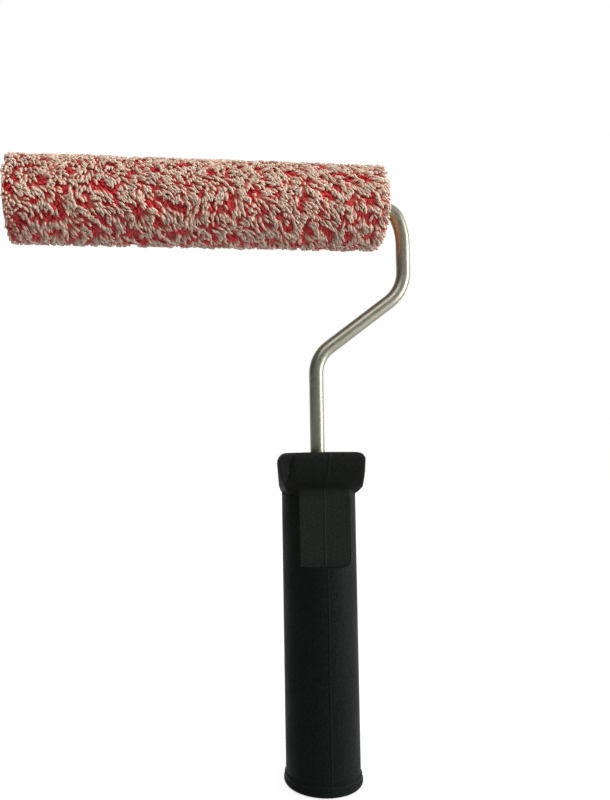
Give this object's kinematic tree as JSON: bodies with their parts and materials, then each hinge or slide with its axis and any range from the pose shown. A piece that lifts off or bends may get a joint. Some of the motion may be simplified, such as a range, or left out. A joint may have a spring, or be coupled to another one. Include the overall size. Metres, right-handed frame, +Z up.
{
  "type": "paint roller",
  "caption": "Plush-nap paint roller turning on a bent metal rod, with a moulded grip that has a flared collar, a label flat and a pole socket.",
  "frame": {"origin": "centre of the grip's mouth, where an extension pole enters", "axes": "+Z up the grip towards the roller, the roller reaches towards -X and its axis is along X, the rod bows out towards +X, the label flat faces -Y"},
  "size_m": [0.1981, 0.0456, 0.3026],
  "materials": {
    "grip_plastic": "fine spark-eroded grain, black",
    "rod_steel": "drawn wire, zinc plated",
    "small_steel": "zinc plated",
    "core_plastic": "plain extruded tube",
    "backing_fabric": "knitted backing",
    "pile_fabric": "cream plush pile with red tufts",
    "plug_plastic": "moulded, orange",
    "bush_plastic": "moulded, white"
  },
  "bodies": {
    "frame": {"grip": "grip_plastic", "frame_rod": "rod_steel", "rod_stop_ring": "small_steel", "near_thrust_washer": "small_steel", "far_thrust_washer": "small_steel", "push_nut": "small_steel"},
    "roller": {"core_tube": "core_plastic", "fabric_backing": "backing_fabric", "pile": "pile_fabric", "near_end_plug": "plug_plastic", "far_end_plug": "plug_plastic", "near_bush": "bush_plastic", "far_bush": "bush_plastic", "far_end_cap": "plug_plastic"}
  },
  "joints": [
    {"name": "roller_spin", "type": "hinge", "parent": "frame", "child": "roller", "pos_m": [-0.0576, 0, 0.2816], "axis": [1, 0, 0], "continuous": true}
  ]
}
